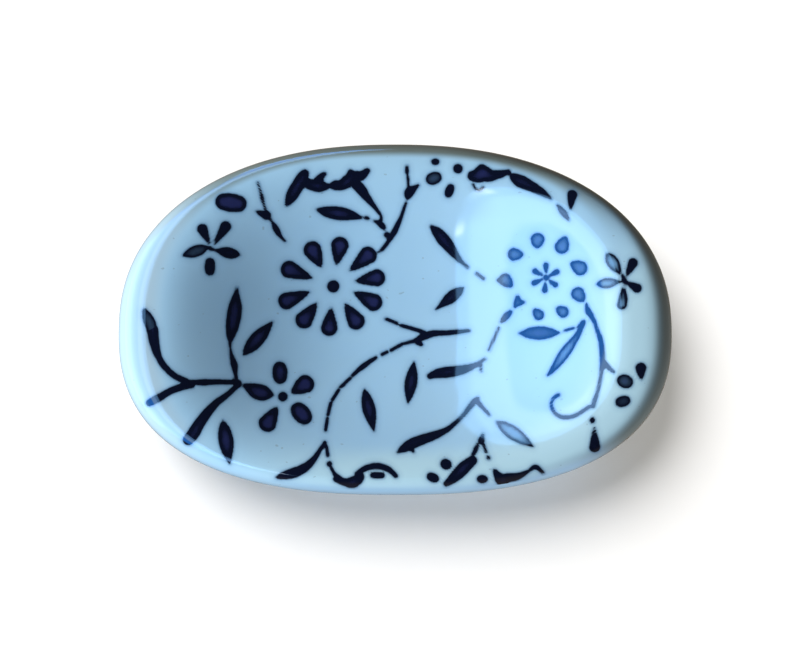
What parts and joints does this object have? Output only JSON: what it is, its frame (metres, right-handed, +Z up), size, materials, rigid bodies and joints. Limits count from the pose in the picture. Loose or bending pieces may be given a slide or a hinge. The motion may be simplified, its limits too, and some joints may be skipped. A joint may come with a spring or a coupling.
{
  "type": "chopstick rest",
  "caption": "Oval porcelain chopstick rest: a small thick dish with a shallow hollow, a broad rounded lip and a low bare foot under a clear glaze.",
  "frame": {"origin": "centre of the dish's outline in plan, on the plane of the foot's sole", "axes": "+X along the dish's length, +Y away from the diner across its width, +Z up"},
  "size_m": [0.064, 0.0408, 0.011],
  "materials": {
    "biscuit": "unglazed fired porcelain, fine matt grain, greyish white",
    "glaze": "clear glossy porcelain glaze with a pale blue cast over dark blue underglaze flowers and vines"
  },
  "bodies": {
    "root": {"porcelain_body": "biscuit", "glaze_coat": "glaze", "well_glaze": "glaze"}
  },
  "joints": []
}
